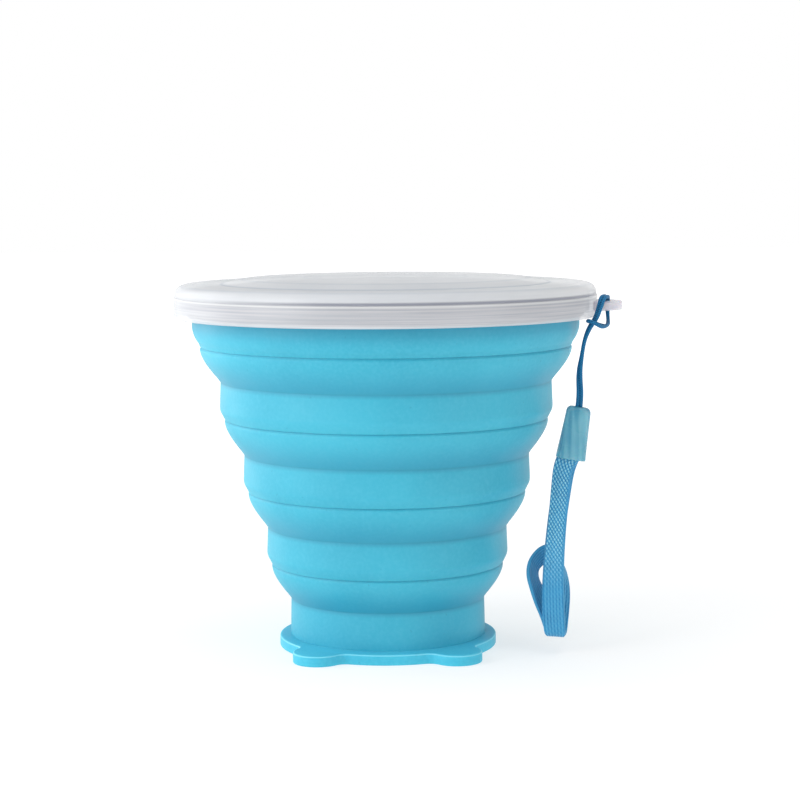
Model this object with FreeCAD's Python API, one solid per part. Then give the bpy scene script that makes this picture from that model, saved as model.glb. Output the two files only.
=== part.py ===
import FreeCAD, Part
import math
import os

# Collapsible travel cup: a telescoping silicone cup of five stepped rings joined by thin fold webs,
# a steel ring round its rim, a snap lid with a lanyard tab, and a wrist lanyard hung on the tab.
# Millimetres, +Z up, the cup's axis on Z, its foot plate on z = 0, the plate's two ears towards -Y
# and the lid's tab towards +X.

V = FreeCAD.Vector
Z_AXIS = V(0, 0, 1)

# Foot plate: a disc with two round ears
PLATE_H = 2.4
PLATE_R = 24.6
PLATE_Y = -1.4
EAR_R = 5.55
EAR_X = 15.2
EAR_Y = -21.6
EAR_NOTCH_R = 1.2
PLATE_EDGE_R = 0.7

# Silicone rings, each one larger than the one below by the same step
RING_COUNT = 4
RING_R = 22.15
RING_STEP_R = 5.12
RING_TOP_Z = 10.65
RING_PITCH = 16.55
RING_BODY_H = 8.6
RING_WALL = 2.1
CHAMFER_H = 2.1
CHAMFER_W = 0.95
FLOOR_T = 1.6
EDGE_R = 0.35

# Fold webs between the rings
WEB_T = 1.0
WEB_BEND_H = 2.7

# Rim collar and the steel ring pressed over it
COLLAR_BOTTOM_Z = 68.1
COLLAR_FOOT_R = 41.9
COLLAR_WAIST_R = 42.1
COLLAR_R = 43.6
COLLAR_SEAT_R = 44.1
COLLAR_IN_R = 40.75
COLLAR_TOP_Z = 79.8
COLLAR_WAIST_H = 0.9
COLLAR_FLARE_H = 3.9
STEEL_T = 0.5
STEEL_BOTTOM_Z = 74.7
STEEL_LIP_IN_R = 41.4

# Snap lid
LID_R = 47.5
LID_BOTTOM_Z = 74.2
LID_CORNER_Z = 79.4
LID_SHOULDER_R = 45.2
LID_TOP_Z = 82.0
LID_WALL = 1.6
LID_TOP_T = 1.3
LID_DISC_R = 38.6
LID_DISC_RISE = 0.9
LID_DISC_SLOPE_W = 2.0
LID_LIP_W = 0.25
LID_LIP_H = 0.8
LID_BEAD_R = 45.1
LID_BEAD_H = 1.0

# Lanyard tab on the lid, turned a little towards the front
TAB_TURN = -9.0
TAB_END_X = 53.2
TAB_HALF_Y = 5.4
TAB_BOTTOM_Z = 76.0
TAB_TOP_Z = 78.1
TAB_EDGE_R = 0.45
HOLE_X = 49.9
HOLE_R = 1.5

# Lanyard sleeve, the crimp inside it and its line of hang
HANG_Y = -13.9
SLEEVE_TOP = V(42.55, HANG_Y, 55.0)
SLEEVE_BOTTOM = V(40.6, HANG_Y, 43.5)
SLEEVE_TOP_W = 5.2
SLEEVE_BOTTOM_W = 6.6
SLEEVE_TOP_D = 3.6
SLEEVE_BOTTOM_D = 4.4
SLEEVE_CORNER_R = 1.3
SLEEVE_WALL = 0.6
SLEEVE_EDGE_R = 0.5
SLOT_W = 2.0
SLOT_D = 1.1
CRIMP_W = 3.6
CRIMP_D = 2.3
CRIMP_LOW = 5.0
CRIMP_HIGH = 8.6
CRIMP_EDGE_R = 0.4
SEWN_TOP_W = 3.9
SEWN_TOP_D = 2.5
SEWN_LOW = 0.15

# Lanyard cord: a doubled round cord, hitched through the tab's hole
CORD_D = 0.8
PAIR_HALF = 0.48
CORD_GAP = 0.5

# Wrist strap: a flat woven loop folded back up once
STRAP_W = 4.8
STRAP_T = 1.0
STRAP_DROP = 1.6
STRAP_LAYER = 0.88
STRAP_LEAN = V(-2.9, 0, -38.1)
KNUCKLE_R = 1.45

os.makedirs("parts", exist_ok=True)


def save(name, shape):
    if not shape.isValid() or len(shape.Solids) != 1:
        raise SystemExit(f"{name}: valid {shape.isValid()}, solids {len(shape.Solids)}")
    shape.exportStep(f"parts/{name}.step")


def edges_of(points):
    """Edges along (r, z) points; a point given as a triple is the pole of a curve to the next."""
    edges = []
    i = 0
    while i < len(points) - 1:
        a = V(points[i][0], 0, points[i][1])
        if len(points[i + 1]) == 3:
            curve = Part.BezierCurve()
            pole = V(points[i + 1][0], 0, points[i + 1][1])
            b = V(points[i + 2][0], 0, points[i + 2][1])
            curve.setPoles([a, pole, b])
            edges.append(curve.toShape())
            i += 2
        else:
            b = V(points[i + 1][0], 0, points[i + 1][1])
            edges.append(Part.makeLine(a, b))
            i += 1
    return edges


def turned(points):
    """A solid turned about Z from a closed outline of (r, z) points."""
    wire = Part.Wire(edges_of(points + [points[0][:2]]))
    return Part.Face(wire).revolve(V(0, 0, 0), Z_AXIS, 360)


def disc(radius, height, x=0.0, y=0.0, z=0.0):
    return Part.makeCylinder(radius, height, V(x, y, z))


def rounded(shape, radius, chosen):
    """Fillets the edges that chosen(edge) picks."""
    return shape.makeFillet(radius, [e for e in shape.Edges if chosen(e)])


def ring_r(k):
    return RING_R + RING_STEP_R * k


def ring_top(k):
    return RING_TOP_Z + RING_PITCH * k


def ring_bottom(k):
    return ring_top(k) - RING_BODY_H


def foot_plate():
    plate = disc(PLATE_R, PLATE_H, 0, PLATE_Y)
    for side in (-1, 1):
        plate = plate.fuse(disc(EAR_R, PLATE_H, side * EAR_X, EAR_Y))
    plate = plate.removeSplitter()

    def notch(edge):
        upright = len(edge.Vertexes) == 2 and abs(edge.Vertexes[0].Z - edge.Vertexes[1].Z) > PLATE_H / 2
        return upright and edge.Vertexes[0].Y < PLATE_Y
    plate = rounded(plate, EAR_NOTCH_R, notch)
    return rounded(plate, PLATE_EDGE_R, lambda e: e.BoundBox.ZMin > PLATE_H - 0.01)


def base_cup():
    inner = RING_R - RING_WALL
    return turned([
        (0, PLATE_H), (RING_R, PLATE_H), (RING_R, RING_TOP_Z), (inner, RING_TOP_Z),
        (inner, PLATE_H + FLOOR_T), (0, PLATE_H + FLOOR_T)])


def ring(k):
    """One rigid ring: a plain wall over a bevel that faces down and out."""
    outer = ring_r(k)
    inner = outer - RING_WALL
    low = ring_bottom(k)
    return turned([
        (inner, low), (outer - CHAMFER_W, low), (outer, low + CHAMFER_H), (outer, ring_top(k)),
        (inner, ring_top(k))])


def web(k):
    """The thin bulging skin from the top of ring k out to the bottom of the ring above it."""
    low_r = ring_r(k)
    low_z = ring_top(k)
    if k < RING_COUNT - 1:
        high_r = ring_r(k + 1) - CHAMFER_W
        high_z = ring_bottom(k + 1)
    else:
        high_r = COLLAR_FOOT_R
        high_z = COLLAR_BOTTOM_Z
    pole_z = high_z - WEB_BEND_H
    return turned([
        (low_r, low_z), (high_r, pole_z, 1), (high_r, high_z), (high_r - WEB_T, high_z),
        (high_r - WEB_T, pole_z, 1), (low_r - WEB_T, low_z)])


def rim_collar():
    low = COLLAR_BOTTOM_Z
    return turned([
        (COLLAR_IN_R, low), (COLLAR_FOOT_R, low), (COLLAR_WAIST_R, low + COLLAR_WAIST_H),
        (COLLAR_R, low + COLLAR_FLARE_H), (COLLAR_R, STEEL_BOTTOM_Z - EDGE_R),
        (COLLAR_SEAT_R, STEEL_BOTTOM_Z), (COLLAR_SEAT_R, COLLAR_TOP_Z), (COLLAR_IN_R, COLLAR_TOP_Z)])


def steel_ring():
    outer = COLLAR_SEAT_R + STEEL_T
    top = COLLAR_TOP_Z + STEEL_T
    band = turned([
        (COLLAR_SEAT_R, STEEL_BOTTOM_Z), (outer, STEEL_BOTTOM_Z), (outer, top), (STEEL_LIP_IN_R, top),
        (STEEL_LIP_IN_R, COLLAR_TOP_Z), (COLLAR_SEAT_R, COLLAR_TOP_Z)])

    def shoulder(edge):
        box = edge.BoundBox
        return box.ZMin > top - 0.01 and box.XMax > outer - 0.01
    return rounded(band, STEEL_T * 0.8, shoulder)


def lid():
    inner = LID_R - LID_WALL
    under = LID_TOP_Z - LID_TOP_T
    slope_r = LID_DISC_R + LID_DISC_SLOPE_W
    high = LID_TOP_Z + LID_DISC_RISE
    bead_z = LID_BOTTOM_Z + LID_BEAD_H
    shell = turned([
        (0, high - LID_TOP_T), (LID_DISC_R, high - LID_TOP_T), (slope_r, under), (inner, under),
        (inner, bead_z), (LID_BEAD_R, bead_z - LID_BEAD_H / 2), (inner, LID_BOTTOM_Z),
        (LID_R + LID_LIP_W, LID_BOTTOM_Z), (LID_R + LID_LIP_W, LID_BOTTOM_Z + LID_LIP_H),
        (LID_R, LID_BOTTOM_Z + LID_LIP_H + LID_LIP_W), (LID_R, LID_CORNER_Z),
        (LID_R, LID_TOP_Z - LID_LIP_H, 1), (LID_SHOULDER_R, LID_TOP_Z), (slope_r, LID_TOP_Z),
        (LID_DISC_R, high), (0, high)])
    thick = TAB_TOP_Z - TAB_BOTTOM_Z
    end_x = TAB_END_X - TAB_HALF_Y
    start_x = LID_R - LID_WALL / 2 - TAB_HALF_Y
    tab = Part.makeBox(end_x - start_x, 2 * TAB_HALF_Y, thick, V(start_x, -TAB_HALF_Y, TAB_BOTTOM_Z))
    tab = tab.fuse(disc(TAB_HALF_Y, thick, end_x, 0, TAB_BOTTOM_Z)).removeSplitter()
    flat = [TAB_BOTTOM_Z, TAB_TOP_Z]

    def rim(edge):
        box = edge.BoundBox
        level = box.ZMax - box.ZMin < 0.01 and min(abs(box.ZMin - z) for z in flat) < 0.01
        return level and box.XMax > start_x + 0.1
    tab = rounded(tab, TAB_EDGE_R, rim)
    tab = tab.cut(disc(LID_R - LID_WALL / 2, thick * 3, 0, 0, TAB_BOTTOM_Z - thick))
    tab = tab.cut(disc(HOLE_R, thick * 3, HOLE_X, 0, TAB_BOTTOM_Z - thick))
    tab.rotate(V(0, 0, 0), Z_AXIS, TAB_TURN)
    return shell.fuse(tab).removeSplitter()


# The sleeve's own frame: W up its axis, U across its width
SLEEVE_LEN = (SLEEVE_TOP - SLEEVE_BOTTOM).Length
W_DIR = (SLEEVE_TOP - SLEEVE_BOTTOM).normalize()
Y_DIR = V(0, 1, 0)
U_DIR = Y_DIR.cross(W_DIR)


def along_sleeve(u, v, w):
    return SLEEVE_BOTTOM + U_DIR * u + Y_DIR * v + W_DIR * w


def in_sleeve_frame(shape):
    """Moves a shape made about the origin, upright, to its place on the sleeve's axis."""
    turn = FreeCAD.Rotation(U_DIR, Y_DIR, W_DIR, "XYZ")
    shape.Placement = FreeCAD.Placement(SLEEVE_BOTTOM, turn).multiply(shape.Placement)
    return shape


def round_rect(width, depth, corner, z):
    """A closed rounded rectangle of arcs and lines, flat at height z."""
    x = width / 2 - corner
    y = depth / 2 - corner
    edges = []
    for i, (sx, sy) in enumerate(((1, 1), (-1, 1), (-1, -1), (1, -1))):
        edges.append(Part.makeCircle(corner, V(sx * x, sy * y, z), Z_AXIS, 90 * i, 90 * i + 90))
    joins = []
    for i, edge in enumerate(edges):
        nxt = edges[(i + 1) % 4]
        joins += [edge, Part.makeLine(edge.Vertexes[-1].Point, nxt.Vertexes[0].Point)]
    return Part.Wire(joins)


def sleeve():
    corner = SLEEVE_CORNER_R
    wall = SLEEVE_WALL
    skin = Part.makeLoft([
        round_rect(SLEEVE_BOTTOM_W, SLEEVE_BOTTOM_D, corner, 0),
        round_rect(SLEEVE_TOP_W, SLEEVE_TOP_D, corner, SLEEVE_LEN)], True, True)
    skin = rounded(skin, SLEEVE_EDGE_R, lambda e: e.BoundBox.ZMin > SLEEVE_LEN - 0.01)
    core = Part.makeLoft([
        round_rect(SLEEVE_BOTTOM_W - 2 * wall, SLEEVE_BOTTOM_D - 2 * wall, corner - wall, -0.01),
        round_rect(SLEEVE_TOP_W - 2 * wall, SLEEVE_TOP_D - 2 * wall, corner - wall, SLEEVE_LEN - wall * 2)],
        True, True)
    slot = Part.Face(round_rect(SLOT_W, SLOT_D, SLOT_D / 2 - 0.01, SLEEVE_LEN / 2))
    return in_sleeve_frame(skin.cut(core).cut(slot.extrude(V(0, 0, SLEEVE_LEN))))


def crimp():
    bar = Part.Face(round_rect(CRIMP_W, CRIMP_D, CRIMP_EDGE_R, CRIMP_LOW))
    return in_sleeve_frame(bar.extrude(V(0, 0, CRIMP_HIGH - CRIMP_LOW)))


def sewn_end():
    """The strap's two ends, sewn together and gathered up to the crimp."""
    depth = 2 * STRAP_LAYER + STRAP_T
    return in_sleeve_frame(Part.makeLoft([
        round_rect(STRAP_W, depth, STRAP_T / 2, SEWN_LOW),
        round_rect(SEWN_TOP_W, SEWN_TOP_D, STRAP_T / 2, CRIMP_LOW)], True, True))


def route(points):
    """Straight runs joined by tangent arcs, each arc as large as its two runs allow."""
    edges = []
    at = points[0]
    radii = []
    for before, corner, after in zip(points, points[1:], points[2:]):
        go = (corner - before).normalize()
        leave = (after - corner).normalize()
        half = go.getAngle(leave) / 2
        back = 0.45 * min((corner - before).Length, (after - corner).Length)
        radii.append(back / math.tan(half))
        start = corner - go * back
        end = corner + leave * back
        bow = (leave - go).normalize() * radii[-1] * (1 / math.cos(half) - 1)
        edges.append(Part.makeLine(at, start))
        edges.append(Part.Arc(start, corner + bow, end).toShape())
        at = end
    edges.append(Part.makeLine(at, points[-1]))
    return Part.Wire(edges), radii


def swept(name, points, section_at, area, binormal=None):
    """A solid along the route; section_at(start, direction) gives its cross-section."""
    path, radii = route(points)
    pipe = Part.BRepOffsetAPI.MakePipeShell(path)
    if binormal:
        pipe.setBiNormalMode(binormal)
    else:
        pipe.setFrenetMode(False)
    pipe.add(section_at(points[0], (points[1] - points[0]).normalize()))
    pipe.build()
    pipe.makeSolid()
    solid = pipe.shape()
    share = abs(solid.Volume) / (area * path.Length)
    print(f"{name}: {path.Length:.1f} long, volume share {share:.3f},", end=" ")
    print("radii", " ".join(f"{r:.1f}" for r in radii))
    return solid


def tube(name, points):
    def section(start, direction):
        return Part.Wire([Part.makeCircle(CORD_D / 2, start, direction)])
    return swept(name, points, section, math.pi * CORD_D ** 2 / 4)


def from_tab(x, y, z):
    """A point of the tab's own frame, X out along its middle."""
    return FreeCAD.Rotation(Z_AXIS, TAB_TURN).multVec(V(x, y, z))


def pair_points(centres, side):
    """One strand of the doubled cord: each centre with the angle that the pair is turned to."""
    out = []
    for centre, turn in centres:
        angle = math.radians(turn)
        lean = U_DIR * math.cos(angle) + Y_DIR * math.sin(angle)
        out.append(centre + lean * (PAIR_HALF * side))
    return out


# The doubled cord from the crimp up to its hinge at the hitch
STANDING = [
    (along_sleeve(0, 0, CRIMP_HIGH), 0),
    (along_sleeve(0, 0, SLEEVE_LEN + 1.6), 0),
    (V(42.5, HANG_Y, 62.3), -45),
    (V(43.25, HANG_Y - 0.1, 66.6), -90),
    (V(44.1, HANG_Y - 0.1, 69.9), -90),
    (V(45.3, HANG_Y - 0.1, 72.6), -90)]

# Up the front of the tab, over its top and down through the hole
OVER_TAB = [
    (from_tab(48.25, -6.75, 74.2), -45),
    (from_tab(48.6, -6.5, 76.0), 0),
    (from_tab(49.0, -6.3, 78.9), 0),
    (from_tab(49.5, -3.2, 79.15), 0),
    (from_tab(49.9, -0.1, 78.8), 0),
    (from_tab(49.9, 0.0, 75.4), 0)]

# The bight under the tab that the standing pair passes through
BIGHT = [
    from_tab(50.6, -1.2, 73.2),
    from_tab(50.3, -4.2, 71.6),
    from_tab(49.2, -7.2, 71.7),
    from_tab(47.9, -8.3, 73.2),
    from_tab(46.2, -8.1, 73.7),
    from_tab(46.2, -5.4, 73.7),
    from_tab(47.8, -5.1, 73.4),
    from_tab(48.7, -3.2, 72.9),
    from_tab(49.2, -1.0, 72.9),
    from_tab(49.3, 0.5, 73.8)]


def short_of(points, gap):
    """The points with the first one moved along its run by gap."""
    first = points[0] + (points[1] - points[0]).normalize() * gap
    return [first] + points[1:]


def cord_strand(side):
    name = f"cord_strand_{'front' if side > 0 else 'back'}"
    points = pair_points(STANDING, side)
    strand = tube(name, points)
    return name, strand.fuse(Part.makeSphere(CORD_D / 2, points[-1])).removeSplitter()


def cord_hitch():
    up = short_of(pair_points(STANDING[-1:] + OVER_TAB, 1), CORD_GAP)
    down = short_of(pair_points(STANDING[-1:] + OVER_TAB, -1), CORD_GAP)
    return tube("cord_hitch", up + BIGHT + down[::-1])


# The strap's frame: S down its length from the hinge below the sleeve, Y across its layers
STRAP_TOP = along_sleeve(0, 0, -STRAP_DROP)
S_DIR = V(STRAP_LEAN).normalize()
STRAP_ACROSS = Y_DIR.cross(S_DIR)

# Strap route as (layer offset, distance down): down the front, round the fold, up the back,
# over the loop's end and all the way back
STRAP_RUNS = [
    (-STRAP_LAYER, 0), (-STRAP_LAYER - 0.3, 6), (-3 * STRAP_LAYER, 15), (-3 * STRAP_LAYER - 0.05, 25),
    (-3 * STRAP_LAYER, 34.5), (-1.9, 37.7), (1.9, 37.7), (3 * STRAP_LAYER, 34.5),
    (3 * STRAP_LAYER + 0.3, 29), (6.4, 23), (6.2, 18.2), (2.9, 17.6), (1.6, 22),
    (STRAP_LAYER + 0.05, 28), (STRAP_LAYER, 34.5), (0.55, 35.85), (-0.55, 35.85), (-STRAP_LAYER, 34.5),
    (-STRAP_LAYER - 0.05, 25), (-STRAP_LAYER, 15), (STRAP_LAYER - 0.3, 6), (STRAP_LAYER, 0)]


def strap():
    points = [STRAP_TOP + Y_DIR * v + S_DIR * s for v, s in STRAP_RUNS]

    def section(start, direction):
        side = STRAP_ACROSS * (STRAP_W / 2)
        face = direction.cross(STRAP_ACROSS).normalize() * (STRAP_T / 2)
        corners = [start + side + face, start - side + face, start - side - face, start + side - face]
        return Part.makePolygon(corners + corners[:1])
    band = swept("strap", points, section, STRAP_W * STRAP_T, STRAP_ACROSS)
    foot = STRAP_TOP - STRAP_ACROSS * (STRAP_W / 2)
    knuckle = Part.makeCylinder(KNUCKLE_R, STRAP_W, foot, STRAP_ACROSS)
    return band.fuse(knuckle).removeSplitter()


save("foot_plate", foot_plate())
save("base_cup", base_cup())
for k in range(1, RING_COUNT):
    save(f"ring_{RING_COUNT + 1 - k}", ring(k))
for k in range(RING_COUNT):
    save(f"fold_web_{RING_COUNT - k}", web(k))
save("rim_collar", rim_collar())
save("steel_ring", steel_ring())
save("lid", lid())
save("lanyard_sleeve", sleeve())
save("crimp", crimp())
save("strap_sewn_end", sewn_end())
for side in (1, -1):
    save(*cord_strand(side))
save("cord_hitch", cord_hitch())
save("strap", strap())
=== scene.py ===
import math

import bpy
import numpy as np
from mathutils import Matrix, Vector


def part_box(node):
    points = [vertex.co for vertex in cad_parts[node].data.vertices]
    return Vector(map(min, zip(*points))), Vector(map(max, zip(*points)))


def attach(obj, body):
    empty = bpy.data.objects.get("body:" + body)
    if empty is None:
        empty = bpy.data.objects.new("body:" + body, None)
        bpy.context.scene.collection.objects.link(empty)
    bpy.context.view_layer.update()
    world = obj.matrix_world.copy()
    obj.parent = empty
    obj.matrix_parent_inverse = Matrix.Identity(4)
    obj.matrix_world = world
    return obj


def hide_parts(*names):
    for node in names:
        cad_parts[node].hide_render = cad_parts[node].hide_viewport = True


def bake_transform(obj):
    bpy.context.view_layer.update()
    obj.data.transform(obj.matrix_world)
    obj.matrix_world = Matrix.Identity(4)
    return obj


# Collapsible travel cup: silicone rings joined by fold webs, a steel ring round the rim, a frosted snap
# lid, and a wrist lanyard hitched on the lid's tab. Metres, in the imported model's frame.

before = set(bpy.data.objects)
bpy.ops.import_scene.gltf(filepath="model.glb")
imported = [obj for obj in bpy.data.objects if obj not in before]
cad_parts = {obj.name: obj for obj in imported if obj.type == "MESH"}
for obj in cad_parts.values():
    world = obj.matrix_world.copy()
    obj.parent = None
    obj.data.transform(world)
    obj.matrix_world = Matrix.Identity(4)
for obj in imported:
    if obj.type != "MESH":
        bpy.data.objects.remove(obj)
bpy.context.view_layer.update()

MM = 0.001
SEGMENTS = 192

# Rings and the base well
WALL = 2.1 * MM
BEVEL_H = 2.1 * MM
BEVEL_W = 0.95 * MM
RING_FLARE = 0.12 * MM
FLOOR_T = 1.6 * MM
WELL_RISE = 0.2 * MM

# Rim collar
COLLAR_FOOT_R = 41.9 * MM
COLLAR_HOLE_R = 40.75 * MM

# Fold webs: the groove is under the ring above, and the lap is over the ring below
WEB_T = 1.0 * MM
WEB_BEND_H = 2.9 * MM
GROOVE_W = 0.32 * MM
GROOVE_H = 0.5 * MM
LAP = 0.25 * MM
PROUD = 0.015 * MM

# Painted light on the silicone: painted shade in the creases, on the webs' undersides and under the lid,
# a painted highlight along the plate's edge, and the plate's silicone painted lighter
PAINTED_SHADE_TONE = 0.65
PAINTED_SHADE_H = 1.2 * MM
# Painted highlight strength along the plate's top edge
EDGE_HIGHLIGHT_TONE = 0.6
PLATE_LIGHT = 1.16

# Foot plate
PLATE_R = 24.6 * MM
PLATE_CENTRE = np.array((0.0, -1.4)) * MM
EAR_R = 5.55 * MM
EAR_CENTRE = np.array((15.2, -21.6)) * MM
NOTCH_R = 2.6 * MM
PLATE_EDGE_R = 0.4 * MM
PLATE_FOOT_R = 0.3 * MM

# Steel ring
STEEL_T = 0.5 * MM
STEEL_LIP_R = 41.4 * MM

# Lid: a raised disc, a slope down to a flat margin, and a shoulder over a skirt with a lip
LID_R = 47.5 * MM
LID_WALL = 1.6 * MM
LID_TOP_T = 1.3 * MM
DISC_R = 32.5 * MM
DISC_RISE = 0.9 * MM
DISC_PROUD = 0.35 * MM
SLOPE_R = DISC_R + 4.4 * MM
SHOULDER_R = 45.2 * MM
CORNER_DROP = 2.7 * MM
STEP_W = 0.16 * MM
LIP_W = 0.05 * MM
SKIRT_TRIM = 0.4 * MM
BEAD_R = 45.1 * MM
GATE_R = 1.2 * MM
GATE_DEEP = 0.25 * MM

# The lid's tab
TAB_TURN = math.radians(-9)
TAB_HALF = 5.4 * MM
TAB_END = 47.8 * MM
TAB_LOW = 76.0 * MM
TAB_HIGH = 78.1 * MM
TAB_EDGE = 0.5 * MM
HOLE_X = 49.9 * MM
HOLE_R = 1.5 * MM
HOLE_EDGE = 0.3 * MM

# Cord and strap
CORD_D = 0.8 * MM
STRAP_W = 4.8 * MM
STRAP_T = 0.95 * MM
RIBS = 7
RIB_H = 0.05 * MM

# Braid of the cord, in millimetres along it
BRAID_YARNS = 4
BRAID_PITCH = 0.55

# Weave of the strap, its bottom fold and its loop, in millimetres
PICK_W = 0.92
PICK_H = 1.1
RIB_W = 0.69
FOLD_AT = 46.0
FOLD_PINCH = 0.16
LOOP_AT = 74.0

# How the lanyard hangs, in millimetres
HANG_Y = -13.9
PAIR_HALF = 0.4
SLEEVE_TOP = Vector((42.55, HANG_Y, 55.0))
SLEEVE_BOTTOM = Vector((40.6, HANG_Y, 43.5))
SLEEVE_LEN = (SLEEVE_TOP - SLEEVE_BOTTOM).length
W_DIR = (SLEEVE_TOP - SLEEVE_BOTTOM).normalized()
Y_DIR = Vector((0, 1, 0))
U_DIR = Y_DIR.cross(W_DIR)

# Studio
ROOM_LIGHT = 0.45
LENS = 94.5
CAMERA_AT = (0.0031, -0.47352, 0.10313)
CAMERA_TURN = (84.24, 0.4, -0.04)


# ---------- mesh helpers

def add_mesh(name, verts, faces, uvs=None, sharp=35):
    mesh = bpy.data.meshes.new(name)
    mesh.from_pydata([tuple(v) for v in verts], [], faces)
    mesh.validate()
    if uvs is not None:
        layer = mesh.uv_layers.new(name="UVMap")
        loops = np.empty(len(mesh.loops), int)
        mesh.loops.foreach_get("vertex_index", loops)
        layer.data.foreach_set("uv", np.asarray(uvs, float)[loops].ravel())
    mesh.shade_smooth()
    mesh.set_sharp_from_angle(angle=math.radians(sharp))
    piece = bpy.data.objects.new(name, mesh)
    bpy.context.scene.collection.objects.link(piece)
    return piece


def bend(a, pole, b, steps=8):
    """Points of a smooth bend from a to b, pulled towards pole."""
    a, pole, b = (np.array(p[:2], float) for p in (a, pole, b))
    out = []
    for t in np.linspace(0, 1, steps + 1):
        out.append(tuple(a * (1 - t) ** 2 + pole * 2 * t * (1 - t) + b * t * t) + (0,))
    return out


def rounded(points, closed=True, steps=5):
    """An (r, z) outline with each corner (r, z, radius) rounded by that radius."""
    out = []
    count = len(points)
    for i, (r, z, radius) in enumerate(points):
        here = np.array((r, z))
        if radius <= 0 or (not closed and i in (0, count - 1)):
            out.append((r, z))
            continue
        before = np.array(points[i - 1][:2]) - here
        after = np.array(points[(i + 1) % count][:2]) - here
        cut = min(radius, 0.48 * np.linalg.norm(before), 0.48 * np.linalg.norm(after))
        start = here + before / np.linalg.norm(before) * cut
        end = here + after / np.linalg.norm(after) * cut
        out += [p[:2] for p in bend(start, here, end, steps)]
    return out


def lathe(name, outline, closed=True, segments=SEGMENTS, sharp=35):
    """A mesh turned about Z. An open outline starts and ends on the axis."""
    verts = []
    rows = []
    angles = np.linspace(0, 2 * math.pi, segments, endpoint=False)
    for r, z in outline:
        if r < 1e-7:
            rows.append([len(verts)] * segments)
            verts.append((0, 0, z))
            continue
        rows.append(range(len(verts), len(verts) + segments))
        verts += [(r * math.cos(a), r * math.sin(a), z) for a in angles]
    faces = []
    pairs = zip(rows, rows[1:] + rows[:1]) if closed else zip(rows, rows[1:])
    for low, high in pairs:
        for i in range(segments):
            j = (i + 1) % segments
            corners = [low[i], low[j], high[j], high[i]]
            face = [c for n, c in enumerate(corners) if c != corners[n - 1]]
            if len(face) > 2:
                faces.append(face)
    return add_mesh(name, verts, faces, sharp=sharp)


def loft(name, loops, closed=True, uvs=None, sharp=35):
    """A mesh through loops of equally many points. A closed one joins its last loop to its first."""
    count = len(loops[0])
    verts = [p for loop in loops for p in loop]
    faces = []
    last = len(loops) if closed else len(loops) - 1
    for k in range(last):
        a = k * count
        b = (k + 1) % len(loops) * count
        for i in range(count):
            j = (i + 1) % count
            faces.append([a + i, a + j, b + j, b + i])
    if not closed:
        faces.append(list(range(count))[::-1])
        faces.append(list(range(len(verts) - count, len(verts))))
    return add_mesh(name, verts, faces, uvs, sharp)


# ---------- materials

def rgb(r, g, b, light=1.0):
    """A linear colour from display values of 0 to 255, times light."""
    return tuple(((c / 255 + 0.055) / 1.055) ** 2.4 * light for c in (r, g, b)) + (1,)


class Look:
    """A material with one shader, whose sockets take numbers or other nodes' outputs."""

    def __init__(self, name, **plain):
        self.material = bpy.data.materials.new(name)
        self.material.use_nodes = True
        self.tree = self.material.node_tree
        self.shader = self.tree.nodes["Principled BSDF"]
        self.surface(**plain)

    def put(self, socket, value):
        if isinstance(value, bpy.types.NodeSocket):
            self.tree.links.new(value, socket)
        else:
            socket.default_value = value

    def node(self, kind, inputs, out=0, **settings):
        node = self.tree.nodes.new(kind)
        for key, value in settings.items():
            setattr(node, key, value)
        for key, value in inputs.items():
            self.put(node.inputs[key], value)
        return node.outputs[out]

    def coords(self, source="Object"):
        return self.node("ShaderNodeTexCoord", {}, source)

    def split(self, source="Object"):
        """The coordinates as three numbers."""
        coords = self.coords(source)
        return [self.node("ShaderNodeSeparateXYZ", {0: coords}, axis) for axis in "XYZ"]

    def place(self, scale):
        return self.node("ShaderNodeMapping", {"Vector": self.coords(), "Scale": scale})

    def away(self, scale=(1, 1, 1)):
        """The distance from the origin, along the axes that scale keeps."""
        return self.node("ShaderNodeVectorMath", {0: self.place(scale)}, "Value", operation="LENGTH")

    def noise(self, scale, detail=2.0, stretch=(1, 1, 1), roughness=0.5):
        return self.node("ShaderNodeTexNoise", {
            "Vector": self.place(stretch), "Scale": scale, "Detail": detail,
            "Roughness": roughness}, "Fac")

    def math(self, operation, a, b=0.0, c=0.0):
        return self.node("ShaderNodeMath", {0: a, 1: b, 2: c}, operation=operation)

    def times(self, a, b):
        return self.math("MULTIPLY", a, b)

    def apart(self, a, b):
        return self.math("ABSOLUTE", self.math("SUBTRACT", a, b))

    def ranged(self, value, low, high, to_low=0.0, to_high=1.0):
        return self.node("ShaderNodeMapRange", {
            "Value": value, "From Min": low, "From Max": high, "To Min": to_low, "To Max": to_high})

    def mix(self, factor, a, b):
        """A colour from a to b. The sockets are found by place, because other kinds share their names."""
        return self.node("ShaderNodeMix", {0: factor, 6: a, 7: b}, 2, data_type="RGBA")

    def bump(self, height, strength, distance, onto=None):
        inputs = {"Height": height, "Strength": strength, "Distance": distance}
        if onto is not None:
            inputs["Normal"] = onto
        return self.node("ShaderNodeBump", inputs)

    def surface(self, **sockets):
        for key, value in sockets.items():
            self.put(self.shader.inputs[key.replace("_", " ")], value)
        return self.material


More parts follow.
